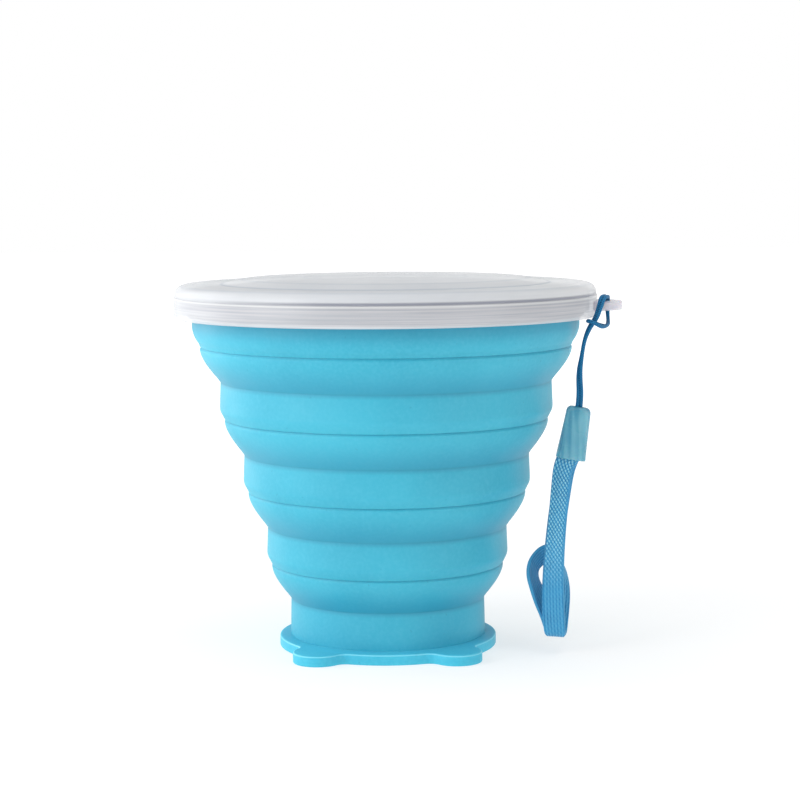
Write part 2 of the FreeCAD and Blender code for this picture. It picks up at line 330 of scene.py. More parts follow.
def silicone_look(name, light=1.0):
    """Matte silicone, clouded and faintly specked. It is painted darker (painted shade) where its shade
    attribute is 1, and painted paler (a painted highlight) along the moulded edges, where its edge
    attribute is 1."""
    look = Look(name, Subsurface_Weight=0.25, Subsurface_Scale=0.0025, Subsurface_Radius=(0.5, 0.9, 1.0),
                Specular_IOR_Level=0.6, Sheen_Weight=0.04, Sheen_Roughness=0.45,
                Sheen_Tint=rgb(235, 240, 240), IOR=1.42)
    cloud = look.ranged(look.noise(38, 3), 0.35, 0.65)
    mottle = look.ranged(look.noise(1300, 2), 0.4, 0.75, 0.0, 0.3)
    specks = look.ranged(look.noise(900, 1), 0.755, 0.80, 0.0, 0.35)
    painted_shade = look.node("ShaderNodeAttribute", {}, "Fac", attribute_name="painted_shade")
    edge = look.node("ShaderNodeAttribute", {}, "Fac", attribute_name="edge")
    base = look.mix(cloud, rgb(54, 172, 199, light), rgb(63, 182, 208, light))
    base = look.mix(mottle, base, rgb(86, 192, 216, light))
    base = look.mix(specks, base, rgb(44, 142, 172, light))
    # Painted shade where the shade attribute is 1
    base = look.mix(look.times(painted_shade, PAINTED_SHADE_TONE), base, rgb(42, 142, 174, light))
    # Painted highlight where the edge attribute is 1
    base = look.mix(look.times(edge, EDGE_HIGHLIGHT_TONE), base, rgb(150, 222, 238, light))
    skin = look.bump(look.noise(160, 2, (1, 1, 0.35)), 0.10, 0.3 * MM)
    skin = look.bump(look.noise(2600, 3), 0.36, 0.03 * MM, skin)
    rough = look.ranged(look.noise(90, 4), 0.3, 0.7, 0.47, 0.58)
    return look.surface(Base_Color=base, Roughness=rough, Normal=skin)


def heights(piece):
    rows = np.empty(len(piece.data.vertices) * 3)
    piece.data.vertices.foreach_get("co", rows)
    return rows[2::3]


def mark(piece, name, values):
    piece.data.attributes.new(name, "FLOAT", "POINT").data.foreach_set("value", values)


def paint_shade(piece, from_z, to_z, above=math.inf):
    """Write the painted-shade attribute, from 0 at from_z to 1 at to_z, and at least half higher than
    above.
    """
    z = heights(piece)
    share = np.clip((z - from_z) / (to_z - from_z), 0, 1)
    mark(piece, "painted_shade", np.maximum(share * share * (3 - 2 * share), 0.5 * (z > above)))


def paint_edge_highlight(piece, z, half):
    """Write the painted-highlight attribute edge, 1 at height z and fading out half away from it."""
    mark(piece, "edge", np.clip(1 - np.abs(heights(piece) - z) / half, 0, 1))


def steel_look(name, tint, streak_scale):
    """Brushed steel of a tint in display values, with streaks along the axes that are scaled least."""
    look = Look(name, Metallic=1.0, Anisotropic=0.6)
    fine = look.noise(1, 4, streak_scale, 0.65)
    broad = look.noise(1, 2, tuple(s * 0.25 for s in streak_scale))
    streaks = look.ranged(look.math("ADD", look.times(fine, 0.6), look.times(broad, 0.4)), 0.35, 0.65)
    return look.surface(
        Base_Color=look.mix(streaks, rgb(*tint, 0.68), rgb(*tint)),
        Roughness=look.ranged(fine, 0.3, 0.7, 0.24, 0.40),
        Normal=look.bump(fine, 0.35, 0.03 * MM))


def lid_look(name, corner, lip):
    """Frosted plastic. The top is hazy and painted lighter towards the tab (painted light), with painted
    shade on the far margin and a painted shade line at the foot of the slope. A painted shade line lies
    in the step over the corner, weaker to the left, with a painted highlight under it, and the skirt
    under it has fine level streaks down to a lighter, more opaque lip."""
    look = Look(name, IOR=1.46, Specular_IOR_Level=0.28)
    east, rear, height = look.split()
    radius = look.away((1, 1, 0))

    haze = look.ranged(look.noise(45, 3), 0.3, 0.7)
    base = look.mix(haze, rgb(222, 225, 229), rgb(232, 234, 237))
    # Painted light: the top is painted lighter towards +X, the tab's side
    base = look.mix(look.ranged(east, 8 * MM, 40 * MM, 0.0, 0.75), base, rgb(244, 245, 246))
    arcs = look.node("ShaderNodeTexNoise", {"W": radius, "Scale": 420, "Detail": 3.0}, "Fac",
                     noise_dimensions="1D")
    base = look.mix(look.ranged(arcs, 0.5, 0.7, 0.0, 0.28), base, rgb(186, 198, 214))
    # Painted shade: the margin between the slope and the rim is painted darker, most on the far side (+Y)
    margin = look.times(look.ranged(radius, SLOPE_R - 0.2 * MM, SLOPE_R, 0.0, 0.6),
                        look.ranged(radius, 41.0 * MM, 45.0 * MM, 1.0, 0.0))
    margin = look.times(margin, look.ranged(rear, 4 * MM, 16 * MM, 0.2, 1.0))
    base = look.mix(margin, base, rgb(170, 182, 184))
    # Painted shade: a darker line in the crease at the foot of the disc's slope
    ring = look.ranged(look.apart(radius, SLOPE_R), 0.0, 0.5 * MM, 0.5, 0.0)
    base = look.mix(ring, base, rgb(158, 172, 194))

    skirt = look.ranged(height, corner - 0.1 * MM, corner + 0.3 * MM, 1.0, 0.0)
    streaks = look.ranged(look.noise(1, 4, (22, 22, 2400), 0.6), 0.36, 0.64)
    base = look.mix(skirt, base, look.mix(streaks, rgb(198, 202, 208), rgb(224, 224, 229)))
    # Painted shade: a dark line in the step over the corner, fading out towards the left (-X)
    line = look.times(look.ranged(look.apart(height, corner + 0.28 * MM), 0.08 * MM, 0.5 * MM, 0.85, 0.0),
                      look.ranged(east, -36 * MM, -12 * MM, 0.25, 1.0))
    base = look.mix(line, base, rgb(122, 126, 142))
    # Painted highlight: a pale line just under the corner
    painted_highlight = look.ranged(look.apart(height, corner - 0.3 * MM), 0.05 * MM, 0.3 * MM, 0.9, 0.0)
    base = look.mix(painted_highlight, base, rgb(248, 249, 250))
    edge = look.ranged(height, lip, lip + 0.3 * MM, 0.6, 0.0)
    base = look.mix(edge, base, rgb(240, 242, 244))

    alpha = look.math("MAXIMUM", look.ranged(skirt, 0.0, 1.0, 0.66, 0.5), look.times(edge, 0.9))
    # The painted shade line is drawn opaque
    alpha = look.math("MAXIMUM", alpha, line)
    skin = look.bump(look.noise(1800, 3), 0.05, 0.01 * MM)
    rough = look.ranged(look.noise(200, 3), 0.3, 0.7, 0.28, 0.38)
    return look.surface(Base_Color=base, Alpha=alpha, Roughness=rough, Normal=skin)


def tab_look():
    look = Look("tab_plastic", IOR=1.46, Specular_IOR_Level=0.5, Alpha=0.72, Subsurface_Weight=0.2,
                Subsurface_Scale=0.001)
    base = look.mix(look.ranged(look.noise(220, 3), 0.3, 0.7), rgb(216, 214, 222), rgb(236, 234, 240))
    skin = look.bump(look.noise(1800, 3), 0.05, 0.01 * MM)
    rough = look.ranged(look.noise(300, 3), 0.3, 0.7, 0.2, 0.32)
    return look.surface(Base_Color=base, Roughness=rough, Normal=skin)


def sleeve_look():
    """Cloudy soft plastic with streaks along the sleeve."""
    look = Look("sleeve_plastic", IOR=1.46, Subsurface_Weight=0.15, Subsurface_Scale=0.0015, Alpha=0.82)
    streaks = look.noise(1, 3, (900, 900, 60))
    broad = look.noise(1, 2, (420, 420, 25))
    haze = look.noise(160, 3)
    base = look.mix(look.ranged(streaks, 0.35, 0.65), rgb(82, 162, 190), rgb(124, 196, 214))
    base = look.mix(look.ranged(broad, 0.5, 0.66, 0.0, 0.6), base, rgb(160, 216, 226))
    base = look.mix(look.ranged(haze, 0.45, 0.8, 0.0, 0.5), base, rgb(72, 154, 186))
    skin = look.bump(streaks, 0.22, 0.06 * MM)
    return look.surface(Base_Color=base, Roughness=look.ranged(haze, 0.3, 0.7, 0.2, 0.32), Normal=skin)


def braid_look():
    """Round cord: two sets of yarns that cross at a slant. U runs round it, V is millimetres along it."""
    look = Look("cord", Sheen_Weight=0.12, Sheen_Roughness=0.4, Specular_IOR_Level=0.3)
    u, v, _ = look.split("UV")
    turn = look.times(u, 2 * math.pi * BRAID_YARNS)
    along = look.times(v, 2 * math.pi / BRAID_PITCH)
    one = look.math("SINE", look.math("ADD", along, turn))
    two = look.math("SINE", look.math("SUBTRACT", along, turn))
    yarn = look.ranged(look.math("MAXIMUM", one, two), -0.2, 1.0)
    fuzz = look.noise(5200, 2)
    base = look.mix(yarn, rgb(4, 74, 120), rgb(20, 126, 178))
    base = look.mix(look.ranged(fuzz, 0.5, 0.8, 0.0, 0.25), base, rgb(60, 156, 200))
    skin = look.bump(fuzz, 0.2, 0.02 * MM, look.bump(yarn, 0.7, 0.08 * MM))
    return look.surface(Base_Color=base, Roughness=look.ranged(fuzz, 0.3, 0.7, 0.5, 0.68), Normal=skin)


def weave_look():
    """Flat woven tape: a net of light picks between plain selvedges. U is millimetres across the tape
    from its middle, V millimetres along it."""
    look = Look("strap_fabric", Sheen_Weight=0.3, Sheen_Roughness=0.35, Specular_IOR_Level=0.35)
    u, v, _ = look.split("UV")
    across = look.times(u, math.pi / PICK_W)
    along = look.times(v, math.pi / PICK_H)
    one = look.math("ABSOLUTE", look.math("COSINE", look.math("ADD", across, along)))
    two = look.math("ABSOLUTE", look.math("COSINE", look.math("SUBTRACT", across, along)))
    pick = look.times(look.math("POWER", one, 0.8), look.math("POWER", two, 2.2))
    inner = look.ranged(look.math("ABSOLUTE", u), 2.0, 2.3, 1.0, 0.0)
    pressed = look.ranged(look.apart(v, FOLD_AT), 12.0, 23.0, 0.1, 1.0)
    looped = look.ranged(look.apart(v, LOOP_AT), 9.0, 13.0, 0.05, 1.0)
    pressed = look.math("MINIMUM", pressed, looped)
    stitch = look.times(look.times(look.ranged(pick, 0.08, 0.6), inner), pressed)
    rib = look.math("ABSOLUTE", look.math("SINE", look.times(u, math.pi / RIB_W)))
    fuzz = look.noise(4200, 3)
    wear = look.noise(260, 3)
    low = look.mix(look.ranged(wear, 0.35, 0.65), rgb(28, 120, 176), rgb(40, 140, 194))
    ridge = look.times(look.ranged(rib, 0.2, 0.9), look.ranged(pressed, 0.1, 1.0, 0.8, 0.4))
    low = look.mix(ridge, low, rgb(76, 164, 206))
    high = look.mix(look.ranged(fuzz, 0.35, 0.7), rgb(130, 208, 234), rgb(184, 236, 248))
    base = look.mix(look.times(stitch, 0.9), low, high)
    skin = look.bump(stitch, 0.7, 0.10 * MM, look.bump(rib, 0.7, 0.09 * MM))
    skin = look.bump(fuzz, 0.16, 0.02 * MM, skin)
    return look.surface(Base_Color=base, Roughness=look.ranged(fuzz, 0.3, 0.7, 0.52, 0.7), Normal=skin)


def finish_piece(piece, look):
    piece.data.materials.clear()
    piece.data.materials.append(look)
    return piece


# ---------- silicone cup

def ring_place(node):
    low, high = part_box(node)
    return high.x, low.z, high.z


def ring_outline(node):
    """Plain wall, slightly wider below, over a bevel, with a small step in to the web under it."""
    outer, low, top = ring_place(node)
    inner = outer - WALL
    return rounded([
        (inner, low, 0.3 * MM), (outer - BEVEL_W, low, 0.22 * MM),
        (outer + RING_FLARE, low + BEVEL_H, 0.7 * MM), (outer - 0.7 * RING_FLARE, top - PAINTED_SHADE_H, 0),
        (outer - 0.9 * RING_FLARE, top - PAINTED_SHADE_H / 3, 0), (outer - RING_FLARE, top, 0),
        (inner, top, 0.3 * MM)])


def web_outline(low_r, low_z, high_r, high_z):
    """Thin bulging skin. Its foot laps the ring below, and its head tucks under the ring above."""
    pole_z = high_z - WEB_BEND_H
    foot = low_r - RING_FLARE + PROUD
    belly = bend((low_r - RING_FLARE, low_z), (high_r, pole_z), (high_r, high_z - GROOVE_H), 26)
    inside = bend((high_r - WEB_T, high_z), (high_r - WEB_T, pole_z), (low_r - WEB_T, low_z), 22)
    outline = [(foot, low_z - LAP, 0)]
    outline += bend((foot, low_z - LAP), (foot, low_z - 0.1 * MM), belly[3], 6)[1:]
    outline += belly[4:-1]
    outline += [(high_r, high_z - GROOVE_H, 0.25 * MM), (high_r - GROOVE_W, high_z - 0.05 * MM, 0)]
    outline += [(high_r - GROOVE_W, high_z + 0.03 * MM, 0), (high_r - WEB_T, high_z + 0.03 * MM, 0)]
    outline += inside[1:]
    return rounded(outline)


def foot_outline():
    """The plate's edge as (x, y) points: a disc joined to two round ears by small hollow fillets."""
    half = []
    plate, ear = PLATE_CENTRE, EAR_CENTRE
    gap = np.linalg.norm(ear - plate)
    towards = math.atan2(ear[1] - plate[1], ear[0] - plate[0])
    near, far = PLATE_R + NOTCH_R, EAR_R + NOTCH_R
    open_by = math.acos((near ** 2 + gap ** 2 - far ** 2) / (2 * near * gap))

    def arc(centre, radius, start, end, steps):
        for a in np.linspace(start, end, steps):
            half.append((centre[0] + radius * math.cos(a), centre[1] + radius * math.sin(a)))

    def swing(a, b):
        """b brought within half a turn of a."""
        return a + (b - a + math.pi) % (2 * math.pi) - math.pi

    def notch(sign):
        """A fillet beside the ear: its bearing from the plate, its centre, and its bearing to the ear."""
        bearing = towards + sign * open_by
        centre = plate + near * np.array((math.cos(bearing), math.sin(bearing)))
        return bearing, centre, math.atan2(ear[1] - centre[1], ear[0] - centre[0])

    rear, rear_notch, rear_to_ear = notch(1)
    front, front_notch, front_to_ear = notch(-1)
    arc(plate, PLATE_R, math.pi / 2, rear, 50)
    arc(rear_notch, NOTCH_R, rear + math.pi, swing(rear + math.pi, rear_to_ear), 9)
    begin = rear_to_ear + math.pi
    finish = front_to_ear + math.pi
    while finish > begin:
        finish -= 2 * math.pi
    arc(ear, EAR_R, begin, finish, 34)
    arc(front_notch, NOTCH_R, front_to_ear, swing(front_to_ear, front + math.pi), 9)
    arc(plate, PLATE_R, front, -math.pi / 2, 18)
    half = half[::-1]
    edge = np.array(half + [(-x, y) for x, y in half[-2:0:-1]])
    return edge[np.linalg.norm(edge - np.roll(edge, 1, 0), axis=1) > 0.02 * MM]


def outward(loop):
    """Unit normals of a loop of points that runs anticlockwise."""
    ahead = np.roll(loop, -1, 0) - np.roll(loop, 1, 0)
    normal = np.stack([ahead[:, 1], -ahead[:, 0]], 1)
    return normal / np.linalg.norm(normal, axis=1)[:, None]


def foot_plate():
    low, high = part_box("foot_plate")
    edge = foot_outline()
    out = outward(edge)
    loops = []

    def flat(share, inset, z):
        """Add the edge at height z, moved inwards by inset and drawn in to a share of its size."""
        ring = (edge - out * inset - PLATE_CENTRE) * share + PLATE_CENTRE
        loops.append([(x, y, z) for x, y in ring])

    for share in (0.02, 0.3, 0.6, 0.85, 1):
        flat(share, PLATE_FOOT_R, low.z)
    for a in np.linspace(0, math.pi / 2, 5)[1:]:
        flat(1, PLATE_FOOT_R * (1 - math.sin(a)), low.z + PLATE_FOOT_R * (1 - math.cos(a)))
    for a in np.linspace(0, math.pi / 2, 8):
        flat(1, PLATE_EDGE_R * (1 - math.cos(a)), high.z - PLATE_EDGE_R * (1 - math.sin(a)))
    for share in (0.97, 0.9, 0.8, 0.6, 0.3, 0.02):
        flat(share, PLATE_EDGE_R, high.z)
    return loft("foot_plate_moulding", loops, closed=False)


def base_well(outer, low, top):
    """A round well with a rounded floor. It reaches a little into the foot plate."""
    inner = outer - WALL
    foot = low - 0.2 * MM
    floor = low + FLOOR_T
    return lathe("base_well", rounded([
        (0, foot, 0), (outer, foot, 0), (outer, low + 2 * MM, 0),
        (outer - 0.9 * RING_FLARE, top - PAINTED_SHADE_H, 0), (outer - RING_FLARE, top, 0), (inner, top, 0.4 * MM),
        (inner - 0.3 * MM, floor, 2.4 * MM), (0, floor, 0)], closed=False), closed=False)


def rim_collar(foot_z):
    """A short bulge, like the head of a ring, up to the straight seat that the steel ring sits on."""
    _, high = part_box("rim_collar")
    seat_r = high.x
    seat_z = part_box("steel_ring")[0].z
    bulge_r = seat_r - 0.5 * MM
    outline = [(COLLAR_HOLE_R, foot_z, 0.3 * MM), (COLLAR_FOOT_R - 0.05 * MM, foot_z, 0.25 * MM)]
    outline += bend((COLLAR_FOOT_R + 0.22 * MM, foot_z + 0.8 * MM),
                    (COLLAR_FOOT_R + 1.5 * MM, foot_z + 2.4 * MM), (bulge_r, foot_z + 4.4 * MM), 12)
    outline += [(bulge_r, seat_z - 0.3 * MM, 0.1 * MM), (seat_r, seat_z, 0), (seat_r, high.z, 0),
                (COLLAR_HOLE_R, high.z, 0.6 * MM)]
    return lathe("rim_collar_moulding", rounded(outline))


def cup():
    silicone = silicone_look("silicone")
    # Painted light: the plate gets a copy of the silicone painted PLATE_LIGHT times lighter
    thick = silicone_look("silicone_painted_lighter", PLATE_LIGHT)
    places = [ring_place(n) for n in ("base_cup", "ring_4", "ring_3", "ring_2")]
    well_r, well_z, well_top = places[0]
    well_top += WELL_RISE
    places[0] = (well_r, well_z, well_top)

    plate = finish_piece(foot_plate(), thick)
    plate_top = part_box("foot_plate")[1].z
    # Painted highlight along the plate's top edge
    paint_edge_highlight(plate, plate_top - 0.2 * MM, 0.19 * MM)
    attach(plate, "base")
    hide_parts("foot_plate")

    well = finish_piece(base_well(well_r, well_z, well_top), silicone)
    # Painted shade in the crease at the top of the well, under the lowest web
    paint_shade(well, well_top - PAINTED_SHADE_H, well_top)
    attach(well, "base")
    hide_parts("base_cup")

    for number in (4, 3, 2):
        piece = lathe(f"ring_{number}_moulding", ring_outline(f"ring_{number}"))
        finish_piece(piece, silicone)
        _, _, ring_top = ring_place(f"ring_{number}")
        # Painted shade in the crease at each ring's top, under the web above
        paint_shade(piece, ring_top - PAINTED_SHADE_H, ring_top)
        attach(piece, f"stage_{number}")
        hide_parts(f"ring_{number}")

    _, foot_z, _ = ring_place("rim_collar")
    collar = finish_piece(rim_collar(foot_z), silicone)
    # Painted shade on the collar, darker upwards under the lid
    paint_shade(collar, foot_z + 1.6 * MM, foot_z + 6.2 * MM)
    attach(collar, "rim")
    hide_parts("rim_collar")

    heads = [(r - BEVEL_W, z) for r, z, _ in places[1:]] + [(COLLAR_FOOT_R, foot_z)]
    for k, (high_r, high_z) in enumerate(heads):
        low_r, _, low_z = places[k]
        web = lathe(f"fold_web_{4 - k}_skin", web_outline(low_r, low_z, high_r, high_z), sharp=50)
        finish_piece(web, silicone)
        # Painted shade on each web: darker down its underside to its foot, and at least half in the
        # groove under the ring above
        brow_z = low_z * 0.15 + high_z * 0.85
        groove_z = high_z - 0.4 * MM
        paint_shade(web, brow_z, low_z - 1.2 * MM, groove_z)
        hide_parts(f"fold_web_{4 - k}")
        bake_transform(web)


def steel_rim():
    """A folded ring: a band round the collar's seat, and a flat lip over its top."""
    low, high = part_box("steel_ring")
    outer = high.x
    inner = outer - STEEL_T
    under = high.z - STEEL_T
    band = lathe("steel_rim_band", rounded([
        (inner, low.z, 0.12 * MM), (outer, low.z, 0.15 * MM), (outer, high.z, 0.55 * MM),
        (STEEL_LIP_R, high.z, 0.15 * MM), (STEEL_LIP_R, under, 0.15 * MM), (inner, under, 0.2 * MM)]))
    finish_piece(band, steel_look("rim_steel", (206, 203, 202), (14, 14, 1900)))
    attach(band, "rim")
    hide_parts("steel_ring")


# ---------- lid

def lid_shell(bottom, top, corner):
    """The lid without its tab. Its margin is at the height top, and its skirt ends at corner."""
    inner = LID_R - LID_WALL
    lip_r = LID_R + LIP_W
    step_r = LID_R - STEP_W
    under = top - LID_TOP_T
    disc_z = top + DISC_RISE + DISC_PROUD
    outline = [
        (0, disc_z - LID_TOP_T, 0), (DISC_R, disc_z - LID_TOP_T, 0.8 * MM), (SLOPE_R, under, 0.8 * MM),
        (inner, under, 0.7 * MM), (inner, bottom + 1.0 * MM, 0.2 * MM),
        (BEAD_R, bottom + 0.5 * MM, 0.35 * MM), (inner, bottom, 0.2 * MM), (lip_r, bottom, 0.65 * MM),
        (lip_r, bottom + 0.75 * MM, 0.3 * MM), (LID_R, bottom + 1.05 * MM, 0.3 * MM),
        (LID_R, corner, 0.1 * MM), (step_r, corner + 0.04 * MM, 0)]
    outline += bend((step_r, corner + 0.2 * MM), (step_r, top - 0.3 * MM), (SHOULDER_R, top), 16)
    outline += [
        (SLOPE_R, top, 0.3 * MM), (DISC_R, disc_z, 2.5 * MM), (GATE_R, disc_z, 0.1 * MM),
        (GATE_R - 0.2 * MM, disc_z - GATE_DEEP, 0), (0, disc_z - GATE_DEEP, 0)]
    return lathe("lid_shell", rounded(outline, closed=False), closed=False, segments=256)


def lid_tab():
    """Flat rounded tab: rings of points round its hole, out to its own edge or into the lid's skirt."""
    root_r = LID_R - 0.12 * MM
    angles = np.linspace(0, 2 * math.pi, 128, endpoint=False)
    reach = []
    for a in angles:
        c, s = math.cos(a), math.sin(a)
        # to the tab's round end
        off = HOLE_X - TAB_END
        out = -off * c + math.sqrt((off * c) ** 2 + TAB_HALF ** 2 - off ** 2)
        # or its straight sides
        if HOLE_X + out * c < TAB_END:
            out = TAB_HALF / max(abs(s), 1e-6)
        # or the skirt
        under = (HOLE_X * c) ** 2 - HOLE_X ** 2 + root_r ** 2
        if under > 0 and c < 0:
            out = min(out, -HOLE_X * c - math.sqrt(under))
        reach.append(out)
    reach = np.array(reach)
    quarter = np.linspace(0, math.pi / 2, 5)

    def corner(z, up, inner, radius):
        """Shift and height round one edge of the section, from its upright side to its flat one."""
        side = 1 if inner else -1
        return [(inner, side * radius * (1 - math.cos(q)), z - up * radius * (1 - math.sin(q)))
                for q in quarter]

    section = corner(TAB_HIGH, 1, True, HOLE_EDGE)
    section += corner(TAB_HIGH, 1, False, TAB_EDGE)[::-1]
    section += corner(TAB_LOW, -1, False, TAB_EDGE)
    section += corner(TAB_LOW, -1, True, HOLE_EDGE)[::-1]
    turn = Matrix.Rotation(TAB_TURN, 3, "Z")
    loops = []
    for inner, shift, z in section:
        radii = np.full(len(angles), HOLE_R + shift) if inner else reach + shift
        loops.append([turn @ Vector((HOLE_X + r * math.cos(a), r * math.sin(a), z))
                      for r, a in zip(radii, angles)])
    return loft("lid_tab", loops)


def lid():
    low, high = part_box("lid")
    bottom = low.z + SKIRT_TRIM
    top = high.z - DISC_RISE
    corner = top - CORNER_DROP
    look = lid_look("lid_plastic", corner, bottom + 0.35 * MM)
    shell = finish_piece(lid_shell(bottom, top, corner), look)
    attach(shell, "lid_body")
    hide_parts("lid")
    tab = finish_piece(lid_tab(), tab_look())
    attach(tab, "lid_body")


# ---------- lanyard

def along_sleeve(u, v, w):
    return SLEEVE_BOTTOM + U_DIR * u + Y_DIR * v + W_DIR * w


def spline_line(name, points, resolution):
    """A smooth line in metres, led by control points in millimetres."""
    curve = bpy.data.curves.new(name, "CURVE")
    curve.dimensions = "3D"
    curve.resolution_u = resolution
    spline = curve.splines.new("NURBS")
    spline.points.add(len(points) - 1)
    for control, point in zip(spline.points, points):
        control.co = (*(Vector(point) * MM), 1)
    spline.order_u = 3
    spline.use_endpoint_u = True
    holder = bpy.data.objects.new(name, curve)
    mesh = bpy.data.meshes.new_from_object(holder)
    line = np.array([v.co for v in mesh.vertices])
    bpy.data.objects.remove(holder)
    bpy.data.curves.remove(curve)
    bpy.data.meshes.remove(mesh)
    return line


def lengths(line):
    steps = np.linalg.norm(np.diff(line, axis=0), axis=1)
    return np.concatenate([[0], np.cumsum(steps)])


def directions(line):
    ahead = np.gradient(line, axis=0)
    return ahead / np.linalg.norm(ahead, axis=1)[:, None]


def side_vectors(line):
    """Side vectors carried along a round cord without twist."""
    along = directions(line)
    side = np.cross(along[0], Y_DIR)
    out = []
    for way in along:
        side = side - way * np.dot(side, way)
        side = side / np.linalg.norm(side)
        out.append(side)
    return np.array(out)


def round_cord(name, line, diameter, points=14):
    along = directions(line)
    side = side_vectors(line)
    other = np.cross(along, side)
    far = lengths(line) / MM
    angles = np.linspace(0, 2 * math.pi, points + 1)
    loops = []
    uvs = []
    for i, centre in enumerate(line):
        loops.append([centre + (side[i] * math.cos(a) + other[i] * math.sin(a)) * diameter / 2
                      for a in angles])
        uvs += [(a / (2 * math.pi), far[i]) for a in angles]
    return loft(name, loops, closed=False, uvs=uvs)


def pair_points(centres, side):
    out = []
    for centre, turn in centres:
        angle = math.radians(turn)
        lean = U_DIR * math.cos(angle) + Y_DIR * math.sin(angle)
        out.append(Vector(centre) + lean * (PAIR_HALF * side))
    return out


def cord():
    # places of the pair from the sleeve up, and the degrees by which it turns towards the back
    standing = [
        (along_sleeve(0, 0, 8.6), 0), (along_sleeve(0, 0, SLEEVE_LEN + 1.6), 0),
        ((42.45, HANG_Y, 62.3), -45), ((43.1, HANG_Y, 66.4), -90), ((43.6, HANG_Y - 0.2, 69.6), -90),
        ((44.6, HANG_Y - 0.8, 72.4), -70)]
    over_tab = [
        ((46.1, -15.3, 74.6), -60), ((47.0, -14.7, 77.2), -45), ((47.6, -14.2, 79.1), -10),
        ((48.5, -12.0, 79.2), -10), ((49.1, -8.6, 79.0), -50), ((49.3, -7.8, 75.4), -90)]
    bight = [
        (49.3, -9.2, 73.8), (49.1, -12.2, 72.9), (47.4, -15.4, 72.5), (45.8, -17.0, 73.5),
        (44.3, -16.8, 74.2), (44.2, -14.1, 73.8), (45.7, -13.4, 73.6), (47.4, -12.0, 72.8),
        (48.9, -10.4, 72.5), (49.4, -8.4, 73.4)]
    up = pair_points(standing + over_tab, 1)
    down = pair_points(standing + over_tab, -1)
    line = spline_line("cord_route", up + bight + down[::-1], 10)
    piece = finish_piece(round_cord("lanyard_cord", line, CORD_D), braid_look())
    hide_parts("cord_hitch", "cord_strand_front", "cord_strand_back")
    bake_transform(piece)
    return piece, line


def squircle(width, depth, w, power):
    """A rounded rectangle round the sleeve's axis at height w."""
    out = []
    for a in np.linspace(0, 2 * math.pi, 72, endpoint=False):
        c, s = math.cos(a), math.sin(a)
        x = math.copysign(abs(c) ** (2 / power), c) * width / 2
        y = math.copysign(abs(s) ** (2 / power), s) * depth / 2
        out.append(along_sleeve(x, y, w) * MM)
    return out


def sleeve():
    """A soft moulded bell: a rounded shoulder with a slot for the cord, and a flared mouth with a hollow
    for the strap."""
    top_w, top_d = 5.2, 3.6
    low_w, low_d = 6.6, 4.4
    wall = 0.6
    shoulder = 1.1
    loops = []

    def at(w, inset, power):
        share = (w / SLEEVE_LEN) ** 0.85
        width = low_w + (top_w - low_w) * share - 2 * inset
        depth = low_d + (top_d - low_d) * share - 2 * inset
        loops.append(squircle(width, depth, w, power))

    at(0.0, 0.16, 4.0)
    at(0.08, 0.03, 4.0)
    for w in np.linspace(0.3, SLEEVE_LEN - shoulder, 12):
        at(w, 0, 4.0)
    for a in np.linspace(0, math.pi / 2, 7)[1:]:
        at(SLEEVE_LEN - shoulder * (1 - math.sin(a)), 0.9 * (1 - math.cos(a)), 4.0 - a)
    loops.append(squircle(2.4, 1.5, SLEEVE_LEN - 0.05, 2.3))
    loops.append(squircle(2.0, 1.1, SLEEVE_LEN - 0.3, 2.3))
    loops.append(squircle(2.0, 1.1, SLEEVE_LEN - 1.1, 2.3))
    at(SLEEVE_LEN - 1.25, 0.9, 3.0)
    for w in np.linspace(SLEEVE_LEN - 1.9, 0.2, 8):
        at(w, wall, 3.6)
    at(0.02, wall - 0.14, 3.8)
    piece = finish_piece(loft("lanyard_sleeve_bell", loops, sharp=60), sleeve_look())
    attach(piece, "cord_body")
    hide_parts("lanyard_sleeve")
    return piece


def tape(name, line, right, down, turns, drops):
    """Ribbed flat tape along a line. Its width points right, turned by turns degrees towards the back
    and leaning down by drops. The bottom fold is squeezed a little narrower."""
    along = directions(line)
    far = lengths(line) / MM
    half_w = STRAP_W / 2
    half_t = STRAP_T / 2 - RIB_H
    edge = 0.36 * MM
    face = [(x * (half_w - edge), half_t + RIB_H * abs(math.sin(x * math.pi / 2 * RIBS)))
            for x in np.linspace(-1, 1, 43)]
    side = [(half_w - edge + edge * math.sin(a), half_t * math.cos(a))
            for a in np.linspace(0, math.pi, 9)[1:-1]]
    section = face + side + [(x, -y) for x, y in face[::-1]] + [(-x, -y) for x, y in side] + [face[0]]
    loops = []
    uvs = []
    for i, centre in enumerate(line):
        angle = math.radians(turns[i])
        wide = np.array(right) * math.cos(angle) + np.array(Y_DIR) * math.sin(angle)
        wide = wide + np.array(down) * drops[i]
        wide = wide - along[i] * np.dot(wide, along[i])
        wide = wide / np.linalg.norm(wide)
        thick = np.cross(along[i], wide)
        narrow = 1 - FOLD_PINCH * math.exp(-((far[i] - FOLD_AT) / 1.6) ** 2)
        loops.append([centre + wide * x * narrow + thick * y for x, y in section])
        uvs += [(x / MM, far[i]) for x, _ in section]
    return loft(name, loops, closed=False, uvs=uvs)


